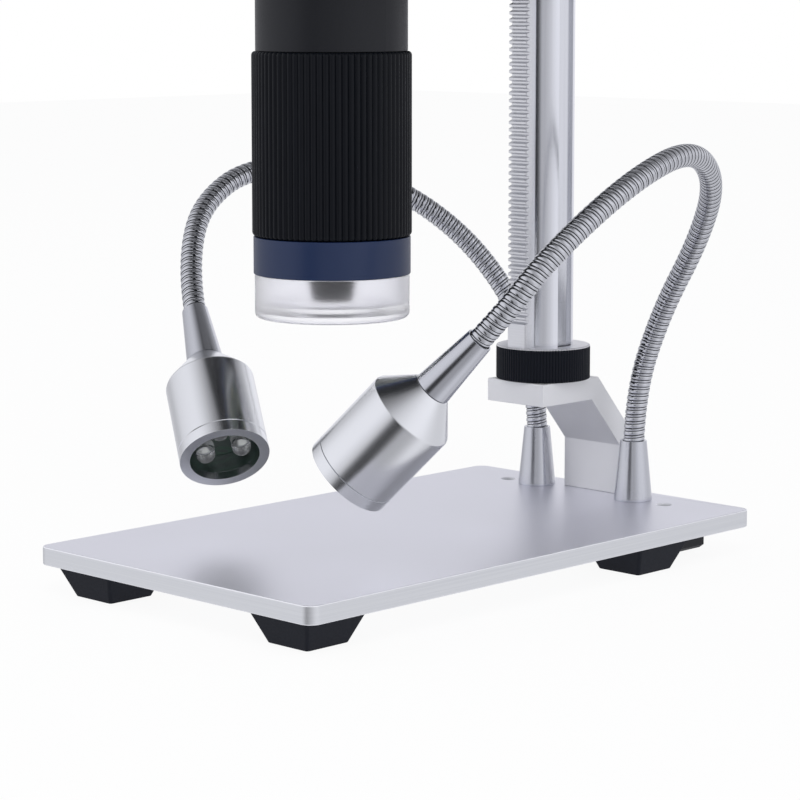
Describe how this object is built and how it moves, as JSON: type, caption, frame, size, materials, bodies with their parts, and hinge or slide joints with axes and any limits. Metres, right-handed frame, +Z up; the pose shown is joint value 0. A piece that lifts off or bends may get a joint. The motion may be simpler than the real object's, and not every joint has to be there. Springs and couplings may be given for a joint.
{
  "type": "lcd digital microscope",
  "caption": "Digital microscope on a round rack column over a flat base plate, with a ribbed barrel, a tilting screen and two gooseneck lamps.",
  "frame": {"origin": "on the table, under the middle of the base plate", "axes": "+X to the right of a person who looks at the screen, +Y to the back, +Z up the column"},
  "size_m": [0.171, 0.2, 0.3043],
  "materials": {
    "anodised_plate": "satin",
    "foot_rubber": "matte",
    "screw_steel": "satin",
    "bracket_metal": "satin",
    "column_metal": "satin",
    "rack_metal": "satin",
    "black_metal": "satin",
    "bright_turned_metal": "polished",
    "gear_steel": "satin",
    "black_plastic": "matte",
    "navy_plastic": "gloss",
    "frosted_plastic": "frosted",
    "board_green": "satin",
    "led_white": "gloss",
    "clear_glass": "gloss",
    "screen_glass": "gloss",
    "panel_dark": "gloss",
    "battery_wrap": "satin",
    "bush_brass": "satin",
    "button_rubber": "matte",
    "inlet_metal": "satin"
  },
  "bodies": {
    "stand": {"base_plate": "anodised_plate", "feet": "foot_rubber", "base_screws": "screw_steel", "post_bracket": "bracket_metal", "column": "column_metal", "column_collar": "black_metal", "column_bolt": "screw_steel", "column_cap": "black_metal", "rack": "rack_metal", "wiring_cover": "black_plastic", "driver_board": "board_green", "power_inlet": "inlet_metal", "socket_nuts": "screw_steel", "lamp_socket_left": "bright_turned_metal", "lamp_socket_right": "bright_turned_metal"},
    "carriage": {"carriage": "black_metal", "pinion_bushes": "bush_brass", "arm": "black_metal", "arm_screws": "screw_steel"},
    "focus_drive": {"pinion_shaft": "gear_steel", "focus_knob_left": "black_plastic", "focus_knob_right": "black_plastic"},
    "lock_screw": {"lock_screw": "black_plastic"},
    "clamp_screw": {"clamp_screw": "black_plastic"},
    "head": {"barrel": "black_metal", "nose_ring": "navy_plastic", "nose_shade": "frosted_plastic", "nose_board": "board_green", "nose_leds": "led_white", "sensor_board": "board_green", "head_housing": "black_plastic", "hinge_pin": "screw_steel"},
    "focus_grip": {"focus_grip": "black_metal"},
    "lens_group": {"lens_cell": "black_plastic", "lenses": "clear_glass"},
    "screen": {"screen_front": "black_plastic", "screen_back": "black_plastic", "screen_glass": "screen_glass", "screen_panel": "panel_dark", "screen_board": "board_green", "screen_battery": "battery_wrap", "button_board": "board_green", "screen_screws": "screw_steel"},
    "button_power": {"button_power": "button_rubber"},
    "button_menu": {"button_menu": "button_rubber"},
    "button_up": {"button_up": "button_rubber"},
    "button_down": {"button_down": "button_rubber"},
    "button_capture": {"button_capture": "button_rubber"},
    "hose_left": {"hose_left": "bright_turned_metal"},
    "lamp_left": {"lamp_neck_left": "bright_turned_metal", "lamp_body_left": "bright_turned_metal", "lamp_ring_left": "bright_turned_metal", "lamp_board_left": "board_green", "lamp_lenses_left": "clear_glass"},
    "hose_right": {"hose_right": "bright_turned_metal"},
    "lamp_right": {"lamp_neck_right": "bright_turned_metal", "lamp_body_right": "bright_turned_metal", "lamp_ring_right": "bright_turned_metal", "lamp_board_right": "board_green", "lamp_lenses_right": "clear_glass"}
  },
  "joints": [
    {"name": "focus_slide", "type": "slide", "parent": "stand", "child": "carriage", "axis": [0, 0, 1], "range_m": [-0.027, 0.033]},
    {"name": "focus_knob", "type": "hinge", "parent": "carriage", "child": "focus_drive", "pos_m": [0, 0.04442, 0.20108], "axis": [1, 0, 0], "range_deg": [-300, 300]},
    {"name": "lock_screw_turn", "type": "hinge", "parent": "carriage", "child": "lock_screw", "pos_m": [0, 0.07885, 0.20108], "axis": [0, 1, 0], "range_deg": [-180, 180]},
    {"name": "clamp_screw_turn", "type": "hinge", "parent": "carriage", "child": "clamp_screw", "pos_m": [0.03005, -0.0326, 0.20108], "axis": [1, 0, 0], "range_deg": [-180, 180]},
    {"name": "head_swivel", "type": "hinge", "parent": "carriage", "child": "head", "pos_m": [0, -0.0326, 0.21013], "axis": [0, 0, 1], "range_deg": [-90, 90]},
    {"name": "grip_turn", "type": "hinge", "parent": "head", "child": "focus_grip", "pos_m": [0, -0.0326, 0.10995], "axis": [0, 0, 1], "range_deg": [-120, 120]},
    {"name": "lens_slide", "type": "slide", "parent": "head", "child": "lens_group", "axis": [0, 0, 1], "range_m": [-0.0031, 0.0031]},
    {"name": "screen_tilt", "type": "hinge", "parent": "head", "child": "screen", "pos_m": [0, -0.052, 0.23813], "axis": [1, 0, 0], "range_deg": [-70, 20]},
    {"name": "press_power", "type": "slide", "parent": "screen", "child": "button_power", "axis": [0, 0.9397, -0.342], "range_m": [0, 0.0012], "stiffness_N_per_m": 200},
    {"name": "press_menu", "type": "slide", "parent": "screen", "child": "button_menu", "axis": [0, 0.9397, -0.342], "range_m": [0, 0.0012], "stiffness_N_per_m": 200},
    {"name": "press_up", "type": "slide", "parent": "screen", "child": "button_up", "axis": [0, 0.9397, -0.342], "range_m": [0, 0.0012], "stiffness_N_per_m": 200},
    {"name": "press_down", "type": "slide", "parent": "screen", "child": "button_down", "axis": [0, 0.9397, -0.342], "range_m": [0, 0.0012], "stiffness_N_per_m": 200},
    {"name": "press_capture", "type": "slide", "parent": "screen", "child": "button_capture", "axis": [0, 0.9397, -0.342], "range_m": [0, 0.0012], "stiffness_N_per_m": 200},
    {"name": "hose_swing_left", "type": "hinge", "parent": "stand", "child": "hose_left", "pos_m": [-0.0213, 0.086, 0.0354], "axis": [0, 0, 1], "range_deg": [-75, 5]},
    {"name": "hose_swing_right", "type": "hinge", "parent": "stand", "child": "hose_right", "pos_m": [0.0213, 0.086, 0.0354], "axis": [0, 0, -1], "range_deg": [-75, 5]},
    {"name": "lamp_tilt_left", "type": "hinge", "parent": "hose_left", "child": "lamp_left", "pos_m": [-0.0618, -0.0337, 0.0816], "axis": [0.4985, 0.8669, 0], "range_deg": [-15, 15]},
    {"name": "lamp_tilt_right", "type": "hinge", "parent": "hose_right", "child": "lamp_right", "pos_m": [0.0618, -0.0335, 0.0835], "axis": [0.3716, -0.9284, 0], "range_deg": [-15, 15]}
  ],
  "couplings": [
    {"joint": "focus_knob", "follows": "focus_slide", "rad_per_m": -133.33},
    {"joint": "lens_slide", "follows": "grip_turn", "m_per_rad": 0.0014324}
  ]
}
